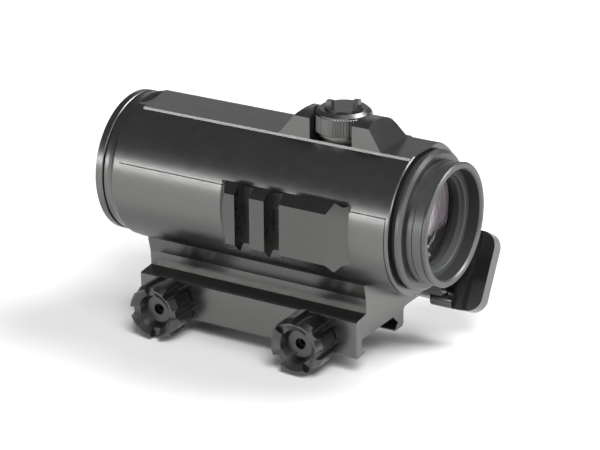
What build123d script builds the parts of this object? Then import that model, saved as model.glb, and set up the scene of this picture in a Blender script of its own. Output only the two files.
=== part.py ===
from build123d import *
import math
import os

# Compact prism sight on a rail clamp.  Millimetres.
# Frame: origin at the middle of the clamp's seat on the rail, +X towards the
# eyepiece, +Y towards the sight's right-hand side, +Z up.

# ---------------------------------------------------------------- dimensions
AXIS_Z = 37.0            # optical axis above the rail seat
RING_FRONT_X = -48.4     # front face of the objective ring
RING_BACK_X = -45.8
BELL_FRONT_X = -45.3
BELL_R = 21.5
BODY_STEP_X = -41.4      # where the bell swells into the main body
BODY_R = 22.4
BODY_REAR_X = 52.6
LAND_FRONT_X = 40.0      # internal land that the prism carrier stops against
LAND_REAR_X = 43.0

SADDLE_FRONT_X = -39.3
SADDLE_REAR_X = 51.4
SADDLE_R = 22.6
SADDLE_INNER_R = 20.6
SEAM_Z = AXIS_Z + 7.0    # parting line between housing and saddle

DECK_FRONT_X = -38.6
DECK_REAR_X = 52.4
DECK_HALF_W = 8.95
DECK_Z = AXIS_Z + 21.15

OBJECTIVE_BORE_R = 19.9
OBJECTIVE_BORE_END = -34.5
MAIN_BORE_R = 17.2
LAND_R = 15.0
EYEPIECE_BORE_R = 17.7

TURRET_X = 25.4
TURRET_POCKET_R = 8.75
BOSS_R = 10.2
TURRET_FLOOR = 18.8      # distances measured outwards from the optical axis
CAP_BOTTOM = 21.95
CAP_SHOULDER = 28.3
CAP_TOP = 29.2
CAP_DISC_TOP = 29.7
CAP_PRONG_TOP = 31.4
CAP_R = 8.13
EAR_CHANNEL = (19.3, 33.3)
EAR_ARCH = [
    (-8.95, 27.5),
    (-7.0, 28.2),
    (-3.6, 28.55),
    (-0.5, 28.4),
    (2.0, 27.9),
    (3.6, 27.1),
    (5.0, 25.2),
    (7.3, 20.9),
]

BASE_HALF_L = 38.0
BASE_HALF_W = 14.1
BASE_BOTTOM_Z = -5.0
LEDGE_OUTER_Z = 6.5
LEDGE_INNER_Z = 7.2
LEDGE_INNER_Y = 8.4
RISER_TOP_Y = 9.9
RISER_TOP_Z = 17.0
SEAT_HALF_W = 7.75       # flat that rests on the rail's top face
RAIL_APEX_HALF_W = 10.75
JAW_INNER_Y = 10.9
MOUNT_SCREWS = ((-18, 0), (-7, 0), (8, 0), (33, 0))

BOLT_Z = -1.5
BOLT_R = 2.5
BOLT_X = (-27.65, 22.4)  # five rail pitches of 10.01 mm apart
NUT_R = 8.75
NUT_BACK_Y = -14.2
NUT_RIM_Y = -23.8
NUT_RIDGE_Y = -22.5      # ring inside the rim, where the bowl begins
NUT_FLOOR_Y = -19.7      # bottom of the bowl
NUT_GROOVES = 8          # every second one is notched through the rim
NUT_NOTCH_ANGLES = (6, 40)

RAIL_FACE_Y = -27.5      # side accessory rail, standard V section
RAIL_Z = AXIS_Z - 0.55
RAIL_SLOTS = (5.1, 15.1)
RAIL_SLOT_W = 5.05
RAIL_X = (1.0, 40.1)

HINGE_Y = 21.5           # latch flap at the rear right of the mount
HINGE_Z = 3.2
FLAP_TILT = 28.0
FLAP_X = (42.5, 59.3)
FLAP_PAD_X = (51.0, 54.0)

OPTICAL_AXIS = Axis((0, 0, AXIS_Z), (1, 0, 0))
ELEVATION = Plane(origin=(TURRET_X, 0, AXIS_Z), x_dir=(1, 0, 0), z_dir=(0, 0, 1))
WINDAGE = Plane(origin=(TURRET_X, 0, AXIS_Z), x_dir=(1, 0, 0), z_dir=(0, 1, 0))

os.makedirs("parts", exist_ok=True)


def save(builder, name):
    """Label the finished piece and write it as one STEP file."""
    builder.part.label = name
    export_step(builder.part, f"parts/{name}.step")


def turned(profile):
    """Body of revolution about the optical axis from (x, radius) points."""
    with BuildPart() as body:
        with BuildSketch(Plane.XZ):
            with BuildLine():
                Polyline([(x, AXIS_Z + r) for x, r in profile], close=True)
            make_face()
        revolve(axis=OPTICAL_AXIS)
    return body


def ring(x0, x1, r_in, r_out):
    """Plain ring about the optical axis."""
    return turned([(x0, r_in), (x0, r_out), (x1, r_out), (x1, r_in)])


def half_height(radius, bulge):
    """Bulge of a spherical face, still left at half its radius."""
    sphere = (radius**2 + bulge**2) / (2 * abs(bulge))
    drop = sphere - math.sqrt(sphere**2 - (radius / 2) ** 2)
    return math.copysign(abs(bulge) - drop, bulge)


def lens(x_front, x_back, radius, front_bulge, back_bulge):
    """Lens with a ground cylindrical edge and two spherical faces."""
    with BuildPart() as body:
        with BuildSketch(Plane.XZ):
            with BuildLine():
                Line((x_front - front_bulge, AXIS_Z), (x_back + back_bulge, AXIS_Z))
                ThreePointArc(
                    (x_back + back_bulge, AXIS_Z),
                    (x_back + half_height(radius, back_bulge), AXIS_Z + radius / 2),
                    (x_back, AXIS_Z + radius),
                )
                Line((x_back, AXIS_Z + radius), (x_front, AXIS_Z + radius))
                ThreePointArc(
                    (x_front, AXIS_Z + radius),
                    (x_front - half_height(radius, front_bulge), AXIS_Z + radius / 2),
                    (x_front - front_bulge, AXIS_Z),
                )
            make_face()
        revolve(axis=OPTICAL_AXIS)
    return body


# ---------------------------------------------------------------- main housing
with BuildPart() as main_housing:
    with BuildSketch(Plane.XZ):
        with BuildLine():
            Polyline(
                [
                    (BELL_FRONT_X, AXIS_Z),
                    (BELL_FRONT_X, AXIS_Z + BELL_R - 0.25),
                    (BELL_FRONT_X + 0.25, AXIS_Z + BELL_R),
                    (BODY_STEP_X - 2.4, AXIS_Z + BELL_R),
                    (BODY_STEP_X - 1.2, AXIS_Z + BELL_R + 0.2),
                    (BODY_STEP_X, AXIS_Z + BODY_R),
                    (BODY_REAR_X - 0.3, AXIS_Z + BODY_R),
                    (BODY_REAR_X, AXIS_Z + BODY_R - 0.3),
                    (BODY_REAR_X, AXIS_Z),
                ],
                close=True,
            )
        make_face()
    revolve(axis=OPTICAL_AXIS)
    # flat top deck: the crown is planed off and a narrow shelf carries the
    # flat out to a low wall on the left
    with BuildSketch(Plane.YZ.offset(DECK_FRONT_X)):
        with BuildLine():
            Polyline(
                [
                    (0, DECK_Z - 8),
                    (0, DECK_Z),
                    (-DECK_HALF_W, DECK_Z),
                    (-DECK_HALF_W - 0.27, DECK_Z - 0.8),
                    (-DECK_HALF_W - 0.27, DECK_Z - 8),
                ],
                close=True,
            )
        make_face()
    extrude(amount=DECK_REAR_X - DECK_FRONT_X)
    with BuildSketch(Plane.XY.offset(DECK_Z)):
        with Locations(((BODY_STEP_X - 0.6 + BODY_REAR_X + 1) / 2, 0)):
            Rectangle(BODY_REAR_X + 1 - (BODY_STEP_X - 0.6), 30)
    extrude(amount=6, mode=Mode.SUBTRACT)
    # the lower part is turned down to take the saddle
    with BuildSketch(Plane.YZ.offset(SADDLE_FRONT_X - 0.1)):
        with Locations((0, AXIS_Z)):
            Circle(30)
            Circle(SADDLE_INNER_R - 0.05, mode=Mode.SUBTRACT)
        with Locations((0, SEAM_Z + 0.05 + 30)):
            Rectangle(80, 60, mode=Mode.SUBTRACT)
    extrude(amount=SADDLE_REAR_X - SADDLE_FRONT_X + 0.2, mode=Mode.SUBTRACT)
    # boss for the windage turret on the right-hand side
    with BuildSketch(WINDAGE.offset(12)):
        Circle(BOSS_R)
    extrude(amount=9.6)
    # optical bores
    with BuildSketch(Plane.XZ):
        with BuildLine():
            Polyline(
                [
                    (BELL_FRONT_X - 1, AXIS_Z),
                    (BELL_FRONT_X - 1, AXIS_Z + OBJECTIVE_BORE_R),
                    (OBJECTIVE_BORE_END, AXIS_Z + OBJECTIVE_BORE_R),
                    (OBJECTIVE_BORE_END, AXIS_Z + MAIN_BORE_R),
                    (LAND_FRONT_X, AXIS_Z + MAIN_BORE_R),
                    (LAND_FRONT_X, AXIS_Z + LAND_R),
                    (LAND_REAR_X, AXIS_Z + LAND_R),
                    (LAND_REAR_X, AXIS_Z + EYEPIECE_BORE_R),
                    (BODY_REAR_X + 1, AXIS_Z + EYEPIECE_BORE_R),
                    (BODY_REAR_X + 1, AXIS_Z),
                ],
                close=True,
            )
        make_face()
    revolve(axis=OPTICAL_AXIS, mode=Mode.SUBTRACT)
    # protective ears fore and aft of the elevation turret
    with BuildSketch(Plane.XZ.offset(-DECK_HALF_W)) as ears_side:
        with BuildLine():
            Polyline(
                [
                    (8.4, DECK_Z - 2),
                    (8.4, DECK_Z - 0.4),
                    (12.4, AXIS_Z + 25.4),
                    (15.2, AXIS_Z + 29),
                    (37.9, AXIS_Z + 29),
                    (39.3, AXIS_Z + 26.8),
                    (43.0, DECK_Z - 0.4),
                    (43.0, DECK_Z - 2),
                ],
                close=True,
            )
        make_face()
    extrude(amount=2 * DECK_HALF_W)
    # the ears' tops are arched across and fall away to the right
    with BuildSketch(Plane.YZ.offset(5)):
        with BuildLine():
            Spline([(y, AXIS_Z + z) for y, z in EAR_ARCH])
            Polyline(
                [
                    (EAR_ARCH[-1][0], AXIS_Z + EAR_ARCH[-1][1]),
                    (14, AXIS_Z + EAR_ARCH[-1][1]),
                    (14, AXIS_Z + 34),
                    (-14, AXIS_Z + 34),
                    (-14, AXIS_Z + EAR_ARCH[0][1]),
                    (EAR_ARCH[0][0], AXIS_Z + EAR_ARCH[0][1]),
                ]
            )
        make_face()
    extrude(amount=42, mode=Mode.SUBTRACT)
    # channel between the ears and the round pocket for the cap
    with BuildSketch(Plane.XY.offset(DECK_Z)):
        with Locations(((EAR_CHANNEL[0] + EAR_CHANNEL[1]) / 2, 0)):
            Rectangle(EAR_CHANNEL[1] - EAR_CHANNEL[0], 30)
    extrude(amount=14, mode=Mode.SUBTRACT)
    for plane in (ELEVATION, WINDAGE):
        with BuildSketch(plane.offset(TURRET_FLOOR)):
            Circle(TURRET_POCKET_R)
        extrude(amount=16, mode=Mode.SUBTRACT)
        with BuildSketch(plane.offset(MAIN_BORE_R - 2)):
            Circle(3.6)
        extrude(amount=6, mode=Mode.SUBTRACT)
    # blind holes for the mount screws
    with BuildSketch(Plane.XY.offset(AXIS_Z - SADDLE_INNER_R - 1)):
        with Locations(*MOUNT_SCREWS):
            Circle(1.65)
    extrude(amount=2.9, mode=Mode.SUBTRACT)
save(main_housing, "main_housing")

# ---------------------------------------------------------------- lower saddle
with BuildPart() as lower_saddle:
    with BuildSketch(Plane.YZ.offset(SADDLE_FRONT_X)):
        with Locations((0, AXIS_Z)):
            Circle(SADDLE_R)
            Circle(SADDLE_INNER_R, mode=Mode.SUBTRACT)
        with Locations((0, SEAM_Z - 0.12 + 30)):
            Rectangle(80, 60, mode=Mode.SUBTRACT)
    extrude(amount=SADDLE_REAR_X - SADDLE_FRONT_X)
    # clearance for the windage boss
    with BuildSketch(WINDAGE.offset(12)):
        Circle(BOSS_R + 0.1)
    extrude(amount=16, mode=Mode.SUBTRACT)
    # shallow seat for the side rail's web
    with BuildSketch(Plane.XZ.offset(21.2)):
        with Locations(((RAIL_X[0] + RAIL_X[1]) / 2, RAIL_Z)):
            Rectangle(RAIL_X[1] - RAIL_X[0] - 8, 7.8)
    extrude(amount=3, mode=Mode.SUBTRACT)
    # holes for the mount screws and the side rail's screws
    with BuildSketch(Plane.XY.offset(AXIS_Z - SADDLE_R - 1)):
        with Locations(*MOUNT_SCREWS):
            Circle(1.75)
    extrude(amount=4, mode=Mode.SUBTRACT)
    with BuildSketch(Plane.XZ.offset(20)):
        with Locations((12.6, RAIL_Z), (30, RAIL_Z)):
            Circle(1.25)
    extrude(amount=3, mode=Mode.SUBTRACT)
save(lower_saddle, "lower_saddle")

# ---------------------------------------------------------------- side rail
with BuildPart() as side_rail:
    with BuildSketch(Plane.YZ.offset(RAIL_X[0] - 5)):
        with BuildLine():
            Polyline(
                [
                    (RAIL_FACE_Y, RAIL_Z - 7.75),
                    (RAIL_FACE_Y, RAIL_Z + 7.75),
                    (RAIL_FACE_Y + 2.85, RAIL_Z + 10.6),
                    (RAIL_FACE_Y + 4.55, RAIL_Z + 8.9),
                    (-18.0, RAIL_Z + 8.9),
                    (-18.0, RAIL_Z - 8.9),
                    (RAIL_FACE_Y + 4.55, RAIL_Z - 8.9),
                    (RAIL_FACE_Y + 2.85, RAIL_Z - 10.6),
                ],
                close=True,
            )
        make_face()
    extrude(amount=RAIL_X[1] - RAIL_X[0] + 6)
    # both ends are turned to cones about the optical axis
    with BuildSketch(Plane.XZ):
        with BuildLine():
            Polyline(
                [
                    (RAIL_X[0] - 4.05, AXIS_Z + SADDLE_R),
                    (RAIL_X[0] + 2.0, AXIS_Z + SADDLE_R + 7.32),
                    (RAIL_X[0] - 9.0, AXIS_Z + SADDLE_R + 7.32),
                    (RAIL_X[0] - 9.0, AXIS_Z + 15),
                    (RAIL_X[0] - 4.05, AXIS_Z + 15),
                ],
                close=True,
            )
        make_face()
        with BuildLine():
            Polyline(
                [
                    (RAIL_X[1] - 0.2, AXIS_Z + SADDLE_R),
                    (RAIL_X[1] - 5.65, AXIS_Z + SADDLE_R + 7.32),
                    (RAIL_X[1] + 6.0, AXIS_Z + SADDLE_R + 7.32),
                    (RAIL_X[1] + 6.0, AXIS_Z + 15),
                    (RAIL_X[1] - 0.2, AXIS_Z + 15),
                ],
                close=True,
            )
        make_face()
    revolve(axis=OPTICAL_AXIS, mode=Mode.SUBTRACT)
    # recoil slots, cut down to the web
    with BuildSketch(Plane.XZ.offset(22.25)):
        for slot_x in RAIL_SLOTS:
            with Locations((slot_x + RAIL_SLOT_W / 2, RAIL_Z)):
                Rectangle(RAIL_SLOT_W, 30)
    extrude(amount=10, mode=Mode.SUBTRACT)
    # underside follows the tube, leaving only the web below its surface
    with BuildSketch(Plane.YZ.offset(-10)):
        with Locations((0, AXIS_Z)):
            Circle(SADDLE_R + 0.02)
    extrude(amount=60, mode=Mode.SUBTRACT)
    with BuildSketch(Plane.XZ.offset(21.22)):
        with Locations(((RAIL_X[0] + RAIL_X[1]) / 2, RAIL_Z)):
            Rectangle(RAIL_X[1] - RAIL_X[0] - 8.1, 7.7)
    extrude(amount=22.25 - 21.22)
    # threaded holes for the screws from inside
    with BuildSketch(Plane.XZ.offset(20)):
        with Locations((12.6, RAIL_Z), (30, RAIL_Z)):
            Circle(1.05)
    extrude(amount=6, mode=Mode.SUBTRACT)
save(side_rail, "side_rail")

with BuildPart() as side_rail_screws:
    with BuildSketch(Plane.XZ.offset(20.62)):
        with Locations((12.6, RAIL_Z), (30, RAIL_Z)):
            Circle(1.0)
    extrude(amount=5.2)
save(side_rail_screws, "side_rail_screws")

# ---------------------------------------------------------------- mount base
with BuildPart() as mount_base:
    with BuildSketch(Plane.YZ.offset(-BASE_HALF_L)):
        with BuildLine():
            Polyline(
                [
                    (-JAW_INNER_Y, 0.0),
                    (SEAT_HALF_W, 0.0),
                    (RAIL_APEX_HALF_W, -2.8),
                    (9.0, -4.6),
                    (9.0, BASE_BOTTOM_Z),
                    (BASE_HALF_W - 0.7, BASE_BOTTOM_Z),
                    (BASE_HALF_W, BASE_BOTTOM_Z + 0.7),
                    (BASE_HALF_W, LEDGE_OUTER_Z - 0.3),
                    (BASE_HALF_W - 0.3, LEDGE_OUTER_Z + 0.03),
                    (LEDGE_INNER_Y, LEDGE_INNER_Z),
                    (LEDGE_INNER_Y + 0.2, 11.8),
                    (RISER_TOP_Y, RISER_TOP_Z),
                    (RISER_TOP_Y, AXIS_Z - 16),
                    (-RISER_TOP_Y, AXIS_Z - 16),
                    (-RISER_TOP_Y, RISER_TOP_Z),
                    (-LEDGE_INNER_Y - 0.2, 11.8),
                    (-LEDGE_INNER_Y, LEDGE_INNER_Z),
                    (-JAW_INNER_Y, LEDGE_INNER_Z - 0.31),
                ],
                close=True,
            )
        make_face()
    extrude(amount=2 * BASE_HALF_L)
    with BuildSketch(Plane.YZ.offset(-BASE_HALF_L - 1)):
        with Locations((0, AXIS_Z)):
            Circle(SADDLE_R + 0.03)
    extrude(amount=2 * BASE_HALF_L + 2, mode=Mode.SUBTRACT)
    # passages for the cross bolts
    with BuildSketch(Plane.XZ.offset(-BASE_HALF_W - 1)):
        for bolt_x in BOLT_X:
            with Locations((bolt_x, BOLT_Z)):
                Circle(BOLT_R + 0.06)
    extrude(amount=2 * BASE_HALF_W + 2, mode=Mode.SUBTRACT)
    # screws up into the saddle and housing, heads sunk above the seat
    with BuildSketch(Plane.XY.offset(-1)):
        with Locations(*MOUNT_SCREWS):
            Circle(1.75)
    extrude(amount=20, mode=Mode.SUBTRACT)
    with BuildSketch(Plane.XY.offset(-1)):
        with Locations(*MOUNT_SCREWS):
            Circle(3.3)
    extrude(amount=5.4, mode=Mode.SUBTRACT)
save(mount_base, "mount_base")

with BuildPart() as mount_screws:
    with BuildSketch(Plane.XY.offset(0.9)):
        with Locations(*MOUNT_SCREWS):
            Circle(3.15)
    extrude(amount=3.45)
    with BuildSketch(Plane.XY.offset(4.35)):
        with Locations(*MOUNT_SCREWS):
            Circle(1.6)
    extrude(amount=13.4)
    with BuildSketch(Plane.XY.offset(0.9)):
        with Locations(*MOUNT_SCREWS):
            RegularPolygon(1.45, 6)
    extrude(amount=1.9, mode=Mode.SUBTRACT)
save(mount_screws, "mount_screws")

# ---------------------------------------------------------------- clamp jaw
with BuildPart() as clamp_jaw:
    with BuildSketch(Plane.YZ.offset(-BASE_HALF_L)):
        with BuildLine():
            Polyline(
                [
                    (-BASE_HALF_W, BASE_BOTTOM_Z + 0.4),
                    (-BASE_HALF_W, LEDGE_OUTER_Z - 0.3),
                    (-BASE_HALF_W + 0.3, LEDGE_OUTER_Z + 0.03),
                    (-JAW_INNER_Y - 0.03, LEDGE_INNER_Z - 0.32),
                    (-JAW_INNER_Y - 0.03, -2.7),
                    (-8.85, -4.55),
                    (-8.85, -4.9),
                    (-12.3, BASE_BOTTOM_Z - 0.3),
                    (-BASE_HALF_W + 0.4, BASE_BOTTOM_Z - 0.3),
                ],
                close=True,
            )
        make_face()
    extrude(amount=2 * BASE_HALF_L)
    with BuildSketch(Plane.XZ.offset(BASE_HALF_W + 1)):
        for bolt_x in BOLT_X:
            with Locations((bolt_x, BOLT_Z)):
                Circle(BOLT_R + 0.06)
    extrude(amount=-8, mode=Mode.SUBTRACT)
save(clamp_jaw, "clamp_jaw")

with BuildPart() as cross_bolts:
    for bolt_x in BOLT_X:
        with BuildSketch(Plane.XZ.offset(-BASE_HALF_W - 0.02)):
            with Locations((bolt_x, BOLT_Z)):
                Circle(BOLT_R)
        extrude(amount=BASE_HALF_W + 17.9)
        with BuildSketch(Plane.XZ.offset(17.9)):
            with Locations((bolt_x, BOLT_Z)):
                RegularPolygon(1.25, 6)
        extrude(amount=-2.2, mode=Mode.SUBTRACT)
        with BuildSketch(Plane.XZ.offset(-BASE_HALF_W - 3.4)):
            with Locations((bolt_x, BOLT_Z)):
                Circle(3.4)
        extrude(amount=3.35)
        with BuildSketch(Plane.XZ.offset(-BASE_HALF_W - 3.4)):
            with Locations((bolt_x, BOLT_Z)):
                RegularPolygon(1.9, 6)
        extrude(amount=2.0, mode=Mode.SUBTRACT)
save(cross_bolts, "cross_bolts")


def castle_nut(bolt_x, notch_angle):
    """Large thumb nut: coned front, dished face, notched rim, grooved side."""
    bolt_axis = Axis((bolt_x, 0, BOLT_Z), (0, -1, 0))
    face = Plane(origin=(bolt_x, NUT_RIM_Y, BOLT_Z), x_dir=(1, 0, 0), z_dir=(0, -1, 0))
    with BuildPart() as nut:
        with BuildSketch(Plane(origin=(bolt_x, 0, BOLT_Z), x_dir=(1, 0, 0), z_dir=(0, 0, 1))):
            with BuildLine():
                Polyline(
                    [
                        (BOLT_R + 0.05, NUT_BACK_Y),
                        (NUT_R - 0.3, NUT_BACK_Y),
                        (NUT_R, NUT_BACK_Y - 0.3),
                        (NUT_R, NUT_RIM_Y + 2.3),
                        (NUT_R - 0.95, NUT_RIM_Y),
                        (7.2, NUT_RIM_Y),
                        (5.4, NUT_RIDGE_Y),
                        (4.2, NUT_FLOOR_Y),
                        (1.75, NUT_FLOOR_Y),
                        (1.75, -17.95),
                        (BOLT_R + 0.05, -17.95),
                    ],
                    close=True,
                )
            make_face()
        revolve(axis=bolt_axis)
        with BuildSketch(face):
            with PolarLocations(NUT_R + 0.6, NUT_GROOVES, start_angle=notch_angle):
                Circle(1.9)
        extrude(amount=NUT_RIM_Y - NUT_BACK_Y, mode=Mode.SUBTRACT)
        with BuildSketch(face):
            with PolarLocations(7.6, NUT_GROOVES // 2, start_angle=notch_angle):
                Rectangle(5.0, 3.0)
        extrude(amount=-1.7, mode=Mode.SUBTRACT)
    return nut


for end, bolt_x, notch_angle in zip(("front", "rear"), BOLT_X, NUT_NOTCH_ANGLES):
    save(castle_nut(bolt_x, notch_angle), f"castle_nut_{end}")

# ---------------------------------------------------------------- latch flap
with BuildPart() as hinge_bracket:
    with BuildSketch(Plane.YZ.offset(19.0)):
        with BuildLine():
            Polyline(
                [
                    (BASE_HALF_W + 0.04, -0.2),
                    (BASE_HALF_W + 0.5, 0.6),
                    (BASE_HALF_W + 1.6, 1.0),
                    (24.0, 1.0),
                    (25.0, 2.0),
                    (25.0, 8.0),
                    (20.5, 12.6),
                    (BASE_HALF_W + 0.04, 12.6),
                ],
                close=True,
            )
        make_face()
    extrude(amount=BASE_HALF_L - 0.05 - 19.0)
    # arm that reaches back over the hinge barrel
    with BuildSketch(Plane.YZ.offset(BASE_HALF_L - 0.3)):
        with BuildLine():
            Polyline([(16.6, 6.1), (21.0, 6.1), (21.0, 10.2), (19.0, 12.2), (16.6, 12.2)], close=True)
        make_face()
    extrude(amount=49.4 - BASE_HALF_L + 0.3)
    with BuildSketch(Plane.XZ.offset(-BASE_HALF_W)):
        with Locations((BOLT_X[1], BOLT_Z)):
            Circle(3.75)
    extrude(amount=-14, mode=Mode.SUBTRACT)
    with BuildSketch(Plane.YZ.offset(24.0)):
        with Locations((HINGE_Y, HINGE_Z)):
            Circle(1.12)
    extrude(amount=20, mode=Mode.SUBTRACT)
    with BuildSketch(Plane.XZ.offset(-BASE_HALF_W)):
        with Locations((23.5, 9.0), (33.5, 9.0)):
            Circle(1.05)
    extrude(amount=-14, mode=Mode.SUBTRACT)
    with BuildSketch(Plane.XZ.offset(-21.0)):
        with Locations((23.5, 9.0), (33.5, 9.0)):
            Circle(1.95)
    extrude(amount=-8, mode=Mode.SUBTRACT)
save(hinge_bracket, "hinge_bracket")

with BuildPart() as bracket_screws:
    with BuildSketch(Plane.XZ.offset(-BASE_HALF_W - 0.1)):
        with Locations((23.5, 9.0), (33.5, 9.0)):
            Circle(1.0)
    extrude(amount=-7.0)
    with BuildSketch(Plane.XZ.offset(-21.05)):
        with Locations((23.5, 9.0), (33.5, 9.0)):
            Circle(1.85)
    extrude(amount=-1.9)
save(bracket_screws, "bracket_screws")

with BuildPart() as hinge_pin:
    with BuildSketch(Plane.YZ.offset(24.3)):
        with Locations((HINGE_Y, HINGE_Z)):
            Circle(1.1)
    extrude(amount=49.2 - 24.3)
save(hinge_pin, "hinge_pin")

# the flap leans outwards: its own plane has +x up the flap and +y outwards
FLAP_UP = (0, math.sin(math.radians(FLAP_TILT)), math.cos(math.radians(FLAP_TILT)))
FLAP_OUT = (0, math.cos(math.radians(FLAP_TILT)), -math.sin(math.radians(FLAP_TILT)))
FLAP_FOOT = (0, 19.75, 1.0)


def flap_plane(outwards):
    """Plane parallel to the flap's faces, normal pointing outwards."""
    origin = tuple(FLAP_FOOT[i] + outwards * FLAP_OUT[i] for i in range(3))
    return Plane(origin=origin, x_dir=(1, 0, 0), z_dir=FLAP_OUT)


def flap_height(height):
    """Local y of a point at this height up the flap."""
    up = flap_plane(0).y_dir
    sign = 1 if up.Z > 0 else -1
    return sign * height


with BuildPart() as latch_flap:
    with BuildSketch(flap_plane(2.0)):
        with Locations(((FLAP_X[0] + FLAP_X[1]) / 2, flap_height(12.9))):
            RectangleRounded(FLAP_X[1] - FLAP_X[0], 24.6, 4.6)
    extrude(amount=4.6)
    with BuildSketch(flap_plane(0.0)):
        with Locations(((FLAP_PAD_X[0] + FLAP_PAD_X[1]) / 2, flap_height(12.2))):
            Rectangle(FLAP_PAD_X[1] - FLAP_PAD_X[0], 23.8)
    extrude(amount=2.2)
    with BuildSketch(Plane.YZ.offset(44.3)):
        with Locations((HINGE_Y, HINGE_Z)):
            Circle(2.6)
    extrude(amount=7.2)
    with BuildSketch(Plane.YZ.offset(40.0)):
        with Locations((HINGE_Y, HINGE_Z)):
            Circle(1.16)
    extrude(amount=9.5, mode=Mode.SUBTRACT)
save(latch_flap, "latch_flap")

# ---------------------------------------------------------------- objective
save(
    turned(
        [
            (RING_FRONT_X, 18.9),
            (RING_FRONT_X, 21.3),
            (RING_FRONT_X + 0.3, 21.6),
            (RING_BACK_X - 0.2, 21.6),
            (RING_BACK_X, 21.4),
            (RING_BACK_X, 19.84),
            (-41.3, 19.84),
            (-41.3, 17.9),
            (RING_FRONT_X + 1.4, 17.9),
        ]
    ),
    "objective_ring",
)
save(ring(RING_BACK_X + 0.02, BELL_FRONT_X - 0.02, 19.87, 20.9), "objective_oring")
save(lens(-39.2, -37.6, 19.8, 2.0, 1.6), "objective_front_lens")
save(ring(-37.35, -36.35, 18.4, 19.8), "objective_spacer")
save(lens(-36.3, -34.75, 19.8, -1.2, 0.5), "objective_rear_lens")

# ---------------------------------------------------------------- prism carrier
CARRIER_FRONT_X = 8.0
save(
    turned(
        [
            (CARRIER_FRONT_X, 9.0),
            (CARRIER_FRONT_X, 14.0),
            (LAND_FRONT_X - 2.1, 14.0),
            (LAND_FRONT_X - 2.1, 17.15),
            (LAND_FRONT_X - 0.05, 17.15),
            (LAND_FRONT_X - 0.05, 9.0),
            (LAND_FRONT_X - 2.1, 9.0),
            (LAND_FRONT_X - 2.1, 12.2),
            (CARRIER_FRONT_X + 2.0, 12.2),
            (CARRIER_FRONT_X + 2.0, 9.0),
        ]
    ),
    "prism_carrier",
)
PRISM_X = 11.5
with BuildPart() as half_penta_prism:
    with BuildSketch(Plane.XZ.offset(-8)):
        with BuildLine():
            Polyline(
                [
                    (PRISM_X + x, AXIS_Z + z)
                    for x, z in ((0, -8), (0, 8), (3.4, 8), (14.8, -3.4), (12.9, -8))
                ],
                close=True,
            )
        make_face()
    extrude(amount=16)
save(half_penta_prism, "half_penta_prism")
with BuildPart() as roof_prism:
    with BuildSketch(Plane.XZ.offset(-8)):
        with BuildLine():
            Polyline(
                [
                    (PRISM_X + x, AXIS_Z + z)
                    for x, z in ((4.2, 8), (24, 8), (24, -8), (20, -8), (15.5, -3.3))
                ],
                close=True,
            )
        make_face()
    extrude(amount=16)
save(roof_prism, "roof_prism")

# bowed leaf spring holding the carrier against the two adjusting screws
with BuildPart() as carrier_spring:
    with BuildSketch(Plane.YZ.offset(17.0)):
        with Locations((0, AXIS_Z)):
            Circle(17.0)
            Circle(16.6, mode=Mode.SUBTRACT)
        with Locations((20, AXIS_Z + 20)):
            Rectangle(60, 60, mode=Mode.SUBTRACT)
        with Locations((30, AXIS_Z - 10)):
            Rectangle(60, 60, mode=Mode.SUBTRACT)
        with Locations((-10, AXIS_Z + 27.5)):
            Rectangle(60, 60, mode=Mode.SUBTRACT)
    extrude(amount=14)
save(carrier_spring, "carrier_spring")

# ---------------------------------------------------------------- reticle
with BuildPart() as reticle_cell:
    with BuildSketch(Plane.YZ.offset(LAND_FRONT_X + 0.1)):
        with Locations((0, AXIS_Z)):
            Circle(14.95)
            Circle(12.0, mode=Mode.SUBTRACT)
        with Locations((0, AXIS_Z - 13.5)):
            Rectangle(3.1, 3.4, mode=Mode.SUBTRACT)
    extrude(amount=2.8)
    with BuildSketch(Plane.YZ.offset(LAND_FRONT_X + 1.3)):
        with Locations((0, AXIS_Z)):
            Circle(12.7)
    extrude(amount=2, mode=Mode.SUBTRACT)
save(reticle_cell, "reticle_cell")
save(turned([(41.35, 0), (41.35, 12.65), (42.85, 12.65), (42.85, 0)]), "reticle_plate")
with BuildPart() as led_emitter:
    with BuildSketch(Plane.YZ.offset(LAND_FRONT_X + 0.15)):
        with Locations((0, AXIS_Z - 13.55)):
            Rectangle(2.9, 1.5)
    extrude(amount=2.7)
save(led_emitter, "led_emitter")

# ---------------------------------------------------------------- eyepiece
EYE_REAR_X = 62.24
save(ring(BODY_REAR_X + 0.03, 53.55, 17.75, 19.9), "eyepiece_oring")
save(
    turned(
        [
            (53.6, 17.72),
            (53.6, 20.4),
            (53.9, 20.7),
            (54.8, 20.7),
            (55.6, 19.7),
            (55.6, 17.72),
        ]
    ),
    "eyepiece_lock_ring",
)
GROOVES = (58.0, 61.0)
BARREL = [(56.1, 17.9), (56.3, 18.1)]
for groove_x in GROOVES:
    BARREL += [
        (groove_x - 0.15, 18.1),
        (groove_x - 0.15, 17.85),
        (groove_x + 0.15, 17.85),
        (groove_x + 0.15, 18.1),
    ]
save(
    turned(
        [
            (44.0, 13.1),
            (44.0, 17.64),
            (56.1, 17.64),
            *BARREL,
            (61.2, 18.2),
            (EYE_REAR_X - 0.4, 18.3),
            (EYE_REAR_X, 17.9),
            (EYE_REAR_X, 16.6),
            (EYE_REAR_X - 0.5, 16.2),
            (57.2, 16.2),
            (57.2, 15.0),
            (45.5, 15.0),
            (45.5, 13.1),
        ]
    ),
    "eyepiece_body",
)
save(lens(46.6, 48.3, 14.95, 1.0, 0.9), "field_lens")
save(ring(48.55, 50.7, 13.6, 14.95), "eyepiece_spacer")
save(lens(51.1, 53.2, 14.95, 1.6, 1.4), "eye_lens")
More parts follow.
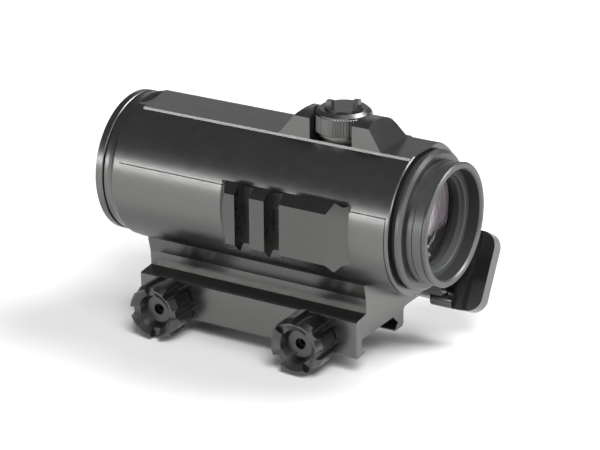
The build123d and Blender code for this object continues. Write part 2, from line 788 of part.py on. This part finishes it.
save(
    turned(
        [
            (54.75, 13.3),
            (54.75, 14.95),
            (57.25, 14.95),
            (57.25, 16.1),
            (58.2, 16.1),
            (58.2, 14.3),
            (58.0, 14.1),
            (56.8, 14.1),
            (56.8, 13.3),
        ]
    ),
    "eye_lens_ring",
)
save(ring(53.5, 54.7, 13.7, 14.95), "eye_lens_oring")


# ---------------------------------------------------------------- turrets
def turret_collar(plane):
    """Bare metal guide threaded into the housing under a cap."""
    with BuildPart() as collar:
        with BuildSketch(plane.offset(TURRET_FLOOR + 0.02)):
            Circle(5.85)
        extrude(amount=2.9)
        with BuildSketch(plane.offset(TURRET_FLOOR + 2.92)):
            Circle(4.9)
        extrude(amount=3.3)
        with BuildSketch(plane.offset(MAIN_BORE_R + 0.15)):
            Circle(3.55)
        extrude(amount=4)
        with BuildSketch(plane.offset(10)):
            Circle(2.55)
        extrude(amount=30, mode=Mode.SUBTRACT)
    return collar


def turret_screw(plane):
    """Adjusting screw with a coin slot, its tip on the prism carrier."""
    with BuildPart() as screw:
        with BuildSketch(plane.offset(14.1)):
            Circle(2.5)
        extrude(amount=11.4)
        with BuildSketch(plane.offset(TURRET_FLOOR + 6.35)):
            Circle(4.6)
        extrude(amount=1.8)
        with BuildSketch(plane.offset(TURRET_FLOOR + 7.35)):
            Rectangle(12, 1.2)
        extrude(amount=1.5, mode=Mode.SUBTRACT)
    return screw


def turret_cap(plane):
    """Ribbed screw cap with a tool disc and two prongs on top."""
    with BuildPart() as cap:
        with BuildSketch(plane.offset(CAP_BOTTOM)):
            Circle(CAP_R)
        extrude(amount=CAP_SHOULDER - CAP_BOTTOM)
        with BuildSketch(plane.offset(CAP_SHOULDER)):
            Circle(CAP_R)
        extrude(amount=CAP_TOP - CAP_SHOULDER, taper=52)
        with BuildSketch(plane.offset(CAP_TOP)):
            Circle(5.6)
        extrude(amount=CAP_DISC_TOP - CAP_TOP)
        with BuildSketch(plane.offset(CAP_DISC_TOP)):
            with PolarLocations(3.9, 2, start_angle=33):
                Rectangle(1.8, 1.8, rotation=-33)
        extrude(amount=CAP_PRONG_TOP - CAP_DISC_TOP)
        with BuildSketch(plane.offset(CAP_BOTTOM)):
            Circle(6.3)
        extrude(amount=5.9, mode=Mode.SUBTRACT)
    return cap


for turret_name, turret_plane in (("elevation", ELEVATION), ("windage", WINDAGE)):
    save(turret_collar(turret_plane), f"{turret_name}_collar")
    save(turret_screw(turret_plane), f"{turret_name}_screw")
    save(turret_cap(turret_plane), f"{turret_name}_cap")
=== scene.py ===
import math

import bpy
from mathutils import Matrix, Vector


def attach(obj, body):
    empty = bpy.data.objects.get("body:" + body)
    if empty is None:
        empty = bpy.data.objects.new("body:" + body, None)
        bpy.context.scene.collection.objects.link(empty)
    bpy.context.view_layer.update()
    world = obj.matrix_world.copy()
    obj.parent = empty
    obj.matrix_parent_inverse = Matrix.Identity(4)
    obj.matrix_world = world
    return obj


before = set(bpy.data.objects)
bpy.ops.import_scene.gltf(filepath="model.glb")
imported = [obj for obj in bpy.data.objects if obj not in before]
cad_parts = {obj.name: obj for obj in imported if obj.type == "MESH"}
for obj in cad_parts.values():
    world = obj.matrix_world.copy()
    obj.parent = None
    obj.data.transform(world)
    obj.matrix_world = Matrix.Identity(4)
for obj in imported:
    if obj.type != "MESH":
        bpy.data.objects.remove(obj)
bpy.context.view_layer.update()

# ------------------------------------------------------------ dimensions, metres
AXIS_Z = 0.037           # optical axis above the rail seat
TURRET_X = 0.0254
FLOOR_Z = -0.0106        # just under the clamp nuts

CAP_R = 0.00813
CAP_RIB_SPAN = (0.0226, 0.0279)      # outwards from the optical axis
CAP_RIBS = 64
COLLAR_R = 0.00585
PIECE_ROOT = 0.0004      # how far a detail piece reaches under the surface it sits on
RIB_HEIGHT = 0.00022
SHARP_ANGLE = math.radians(32)       # edges steeper than this stay crisp

MOTTLE_SCALE = 260.0     # noise scales, per metre of object
GRAIN_SCALE = 2600.0
GRAIN_DEPTH = 0.00002
WORLD_STRENGTH = 0.16
FLOOR_HALF = 4.0

OPTICAL = Matrix.Translation((0, 0, AXIS_Z)) @ Matrix.Rotation(math.pi / 2, 4, "Y")
ELEVATION = Matrix.Translation((TURRET_X, 0, AXIS_Z))
WINDAGE = Matrix.Translation((TURRET_X, 0, AXIS_Z)) @ Matrix.Rotation(-math.pi / 2, 4, "X")


# ------------------------------------------------------------ materials
def metal(name, colour, metallic, roughness, grain=0.0, mottle=0.06):
    """Metal finish with a fine grain and slightly uneven gloss."""
    material = bpy.data.materials.new(name)
    material.use_nodes = True
    nodes = material.node_tree.nodes
    links = material.node_tree.links
    shader = nodes["Principled BSDF"]
    shader.inputs["Base Color"].default_value = (*colour, 1)
    shader.inputs["Metallic"].default_value = metallic
    coords = nodes.new("ShaderNodeTexCoord")
    if mottle:
        cloud = nodes.new("ShaderNodeTexNoise")
        cloud.inputs["Scale"].default_value = MOTTLE_SCALE
        cloud.inputs["Detail"].default_value = 3.0
        spread = nodes.new("ShaderNodeMapRange")
        spread.inputs["To Min"].default_value = roughness - mottle
        spread.inputs["To Max"].default_value = roughness + mottle
        links.new(coords.outputs["Object"], cloud.inputs["Vector"])
        links.new(cloud.outputs["Fac"], spread.inputs["Value"])
        links.new(spread.outputs["Result"], shader.inputs["Roughness"])
    else:
        shader.inputs["Roughness"].default_value = roughness
    if grain:
        speckle = nodes.new("ShaderNodeTexNoise")
        speckle.inputs["Scale"].default_value = GRAIN_SCALE
        speckle.inputs["Detail"].default_value = 2.0
        bump = nodes.new("ShaderNodeBump")
        bump.inputs["Strength"].default_value = grain
        bump.inputs["Distance"].default_value = GRAIN_DEPTH
        links.new(coords.outputs["Object"], speckle.inputs["Vector"])
        links.new(speckle.outputs["Fac"], bump.inputs["Height"])
        links.new(bump.outputs["Normal"], shader.inputs["Normal"])
    return material


def plain(name, colour, roughness, **sockets):
    """Even material; extra sockets are given by name."""
    material = bpy.data.materials.new(name)
    material.use_nodes = True
    shader = material.node_tree.nodes["Principled BSDF"]
    shader.inputs["Base Color"].default_value = (*colour, 1)
    shader.inputs["Roughness"].default_value = roughness
    for socket, value in sockets.items():
        shader.inputs[socket.replace("_", " ")].default_value = value
    return material


TUBE = metal("tube_anodised", (0.155, 0.155, 0.152), 1.0, 0.31, grain=0.35)
BASE = metal("base_anodised", (0.165, 0.165, 0.161), 1.0, 0.25, grain=0.25, mottle=0.04)
NUT = metal("nut_anodised", (0.115, 0.115, 0.113), 1.0, 0.3, grain=0.15)
EYEPIECE = metal("eyepiece_anodised", (0.12, 0.122, 0.122), 0.85, 0.4, grain=0.15)
RAIL = metal("rail_anodised", (0.105, 0.105, 0.102), 1.0, 0.28, grain=0.1, mottle=0.04)
RING_GREY = plain("lens_ring_grey", (0.06, 0.063, 0.063), 0.5)
# Matt black of the internal parts; where it lines the eyepiece the same black is painted shade.
MATT_BLACK = plain("blackened_inside_and_painted_shade", (0.012, 0.012, 0.013), 0.75)
OXIDE = metal("oxide_steel", (0.09, 0.09, 0.095), 0.9, 0.34)
BRIGHT = metal("bright_steel", (0.86, 0.85, 0.82), 0.8, 0.3, mottle=0.03)
# Silver turret collars, partly painted sheen: the light base colour with metallic cut to 0.3 is
# a painted reflection that keeps them bright in their shaded gap.
COLLAR = metal("collar_alloy_painted_sheen", (0.9, 0.88, 0.82), 0.3, 0.34, mottle=0.03)
BRASS = metal("adjuster_brass", (0.6, 0.45, 0.2), 1.0, 0.3)
RUBBER = plain("black_rubber", (0.012, 0.012, 0.012), 0.7)
COATED = plain(
    "coated_glass",
    (0.97, 0.96, 0.97),
    0.0,
    Transmission_Weight=1.0,
    IOR=1.75,
    Specular_Tint=(1.0, 0.84, 0.94, 1),
)
PRISM_GLASS = plain("prism_glass", (0.88, 0.93, 0.9), 0.02, Transmission_Weight=1.0, IOR=1.52)
EMITTER = plain("emitter_epoxy", (0.45, 0.03, 0.02), 0.2, Transmission_Weight=0.3)

FINISHES = {
    TUBE: ["main_housing", "lower_saddle", "objective_ring", "elevation_cap", "windage_cap"],
    RAIL: ["side_rail"],
    BASE: ["mount_base", "clamp_jaw", "hinge_bracket", "latch_flap"],
    NUT: ["castle_nut_front", "castle_nut_rear"],
    EYEPIECE: ["eyepiece_body", "eyepiece_lock_ring"],
    RING_GREY: ["eye_lens_ring"],
    MATT_BLACK: ["prism_carrier", "reticle_cell", "objective_spacer", "eyepiece_spacer"],
    OXIDE: ["side_rail_screws", "mount_screws", "cross_bolts", "bracket_screws"],
    BRIGHT: ["hinge_pin", "carrier_spring"],
    COLLAR: ["elevation_collar", "windage_collar"],
    BRASS: ["elevation_screw", "windage_screw"],
    RUBBER: ["objective_oring", "eyepiece_oring", "eye_lens_oring"],
    COATED: ["objective_front_lens", "objective_rear_lens", "field_lens", "eye_lens"],
    PRISM_GLASS: ["half_penta_prism", "roof_prism", "reticle_plate"],
    EMITTER: ["led_emitter"],
}
for finish, names in FINISHES.items():
    for name in names:
        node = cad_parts[name]
        node.data.materials.clear()
        node.data.materials.append(finish)


# ------------------------------------------------------------ fine detail
def piece(name, points, faces, place, body, finish):
    """Mesh piece built in the given placement, riding on a body."""
    mesh = bpy.data.meshes.new(name)
    mesh.from_pydata([place @ Vector(point) for point in points], [], faces)
    mesh.update()
    mesh.shade_smooth()
    mesh.set_sharp_from_angle(angle=SHARP_ANGLE)
    mesh.materials.append(finish)
    made = bpy.data.objects.new(name, mesh)
    bpy.context.scene.collection.objects.link(made)
    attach(made, body)


def turned(name, profile, place, body, finish, steps=128, rib=0.0):
    """Closed profile of (along, radius, follows) turned about the placement's z axis.

    With rib above zero, two steps in every four stand out by that much at the
    points whose follows is 1. Points whose follows is 0 stay round.
    """
    points = []
    for step in range(steps):
        angle = 2 * math.pi * step / steps
        extra = rib if step % 4 < 2 else 0.0
        for along, radius, follows in profile:
            reach = radius + extra * follows
            points.append((reach * math.cos(angle), reach * math.sin(angle), along))
    count = len(profile)
    faces = []
    for step in range(steps):
        near = step * count
        far = ((step + 1) % steps) * count
        for i in range(count):
            j = (i + 1) % count
            faces.append((near + i, near + j, far + j, far + i))
    piece(name, points, faces, place, body, finish)


def thread(start, length, pitch, radius, depth):
    """Zigzag (along, radius, 0) points of a fine thread, seen from the side."""
    turns = int(length / pitch)
    points = []
    for turn in range(turns):
        at = start + turn * pitch
        points.append((at, radius, 0))
        points.append((at + pitch / 2, radius + depth, 0))
    points.append((start + turns * pitch, radius, 0))
    return points


for turret, place in (("elevation", ELEVATION), ("windage", WINDAGE)):
    low, high = CAP_RIB_SPAN
    turned(
        f"{turret}_cap_ribs",
        [
            (low, CAP_R - PIECE_ROOT, 0),
            (low, CAP_R + 0.00002, 0),
            (low + 0.0002, CAP_R + 0.00005, 1),
            (high - 0.0002, CAP_R + 0.00005, 1),
            (high, CAP_R + 0.00002, 0),
            (high, CAP_R - PIECE_ROOT, 0),
        ],
        place,
        f"{turret}_cap",
        TUBE,
        steps=4 * CAP_RIBS,
        rib=RIB_HEIGHT,
    )
    turned(
        f"{turret}_collar_thread",
        [
            (0.0190, COLLAR_R - PIECE_ROOT, 0),
            *thread(0.0190, 0.0026, 0.00052, COLLAR_R + 0.00002, 0.00018),
            (0.0216, COLLAR_R - PIECE_ROOT, 0),
        ],
        place,
        "sight",
        COLLAR,
    )

# Thin near-black sheet over the inside of the eyepiece cone: painted shade that darkens the
# recess.
turned(
    "eyepiece_painted_shade_sheet",
    [
        (0.0583, 0.01619, 0),
        (0.0583, 0.01605, 0),
        (0.0616, 0.01605, 0),
        (0.0617, 0.01619, 0),
    ],
    OPTICAL,
    "eyepiece",
    MATT_BLACK,
)
turned(
    "lens_ring_thread",
    [
        (0.0549, 0.01335, 0),
        *thread(0.0549, 0.0018, 0.00036, 0.01328, -0.00018),
        (0.0567, 0.01335, 0),
    ],
    OPTICAL,
    "eyepiece",
    MATT_BLACK,
)

# ------------------------------------------------------------ studio
floor_mesh = bpy.data.meshes.new("floor")
floor_mesh.from_pydata(
    [(x * FLOOR_HALF, y * FLOOR_HALF, FLOOR_Z) for x, y in ((-1, -1), (1, -1), (1, 1), (-1, 1))],
    [],
    [(0, 1, 2, 3)],
)
floor = bpy.data.objects.new("floor", floor_mesh)
floor_mesh.materials.append(plain("pale_floor", (0.86, 0.86, 0.86), 0.9))
bpy.context.scene.collection.objects.link(floor)


def softbox(name, direction, distance, width, height, power):
    """Area light off in a direction, facing the sight."""
    aim = Vector((0.01, 0, AXIS_Z))
    towards = Vector(direction).normalized()
    lamp = bpy.data.lights.new(name, "AREA")
    lamp.shape = "RECTANGLE"
    lamp.size = width
    lamp.size_y = height
    lamp.energy = power
    holder = bpy.data.objects.new(name, lamp)
    holder.location = aim + towards * distance
    holder.rotation_euler = towards.to_track_quat("Z", "Y").to_euler()
    bpy.context.scene.collection.objects.link(holder)


softbox("strip_left", (-0.50, -0.84, 0.15), 1.5, 0.9, 0.14, 5.5)
softbox("fill_right", (0.95, -0.35, 0.30), 1.6, 0.4, 0.4, 3)
softbox("rim_far", (-0.45, 0.85, 0.25), 1.6, 1.0, 0.2, 0.6)
softbox("floor_light_near", (0.75, -0.75, 1.45), 2.6, 1.3, 1.3, 62)
softbox("floor_light_far", (0.85, 0.75, 1.35), 2.6, 1.3, 1.3, 62)

world = bpy.data.worlds.new("studio")
world.use_nodes = True
world.node_tree.nodes["Background"].inputs["Color"].default_value = (1, 1, 1, 1)
world.node_tree.nodes["Background"].inputs["Strength"].default_value = WORLD_STRENGTH
bpy.context.scene.world = world
bpy.context.scene.view_settings.view_transform = "Standard"

# ------------------------------------------------------------ camera
CAMERA_AZIMUTH = math.radians(31.43)
CAMERA_ELEVATION = math.radians(21.59)
CAMERA_ROLL = math.radians(-0.394)
CAMERA_DISTANCE = 0.7029
CAMERA_AIM = Vector((0.0187, -0.01355, 0.0330))
CAMERA_LENS = 145.46     # millimetres on a 36 mm wide sensor

sin_a, cos_a = math.sin(CAMERA_AZIMUTH), math.cos(CAMERA_AZIMUTH)
sin_e, cos_e = math.sin(CAMERA_ELEVATION), math.cos(CAMERA_ELEVATION)
back = Vector((sin_a * cos_e, -cos_a * cos_e, sin_e))
level_right = Vector((cos_a, sin_a, 0))
level_up = back.cross(level_right)
right = level_right * math.cos(CAMERA_ROLL) + level_up * math.sin(CAMERA_ROLL)
up = back.cross(right)
camera_place = Matrix((right, up, back)).transposed().to_4x4()
camera_place.translation = CAMERA_AIM + back * CAMERA_DISTANCE

camera_data = bpy.data.cameras.new("camera")
camera_data.lens = CAMERA_LENS
camera_data.sensor_width = 36.0
camera_data.clip_end = 20.0
camera = bpy.data.objects.new("camera", camera_data)
camera.matrix_world = camera_place
bpy.context.scene.collection.objects.link(camera)
bpy.context.scene.camera = camera
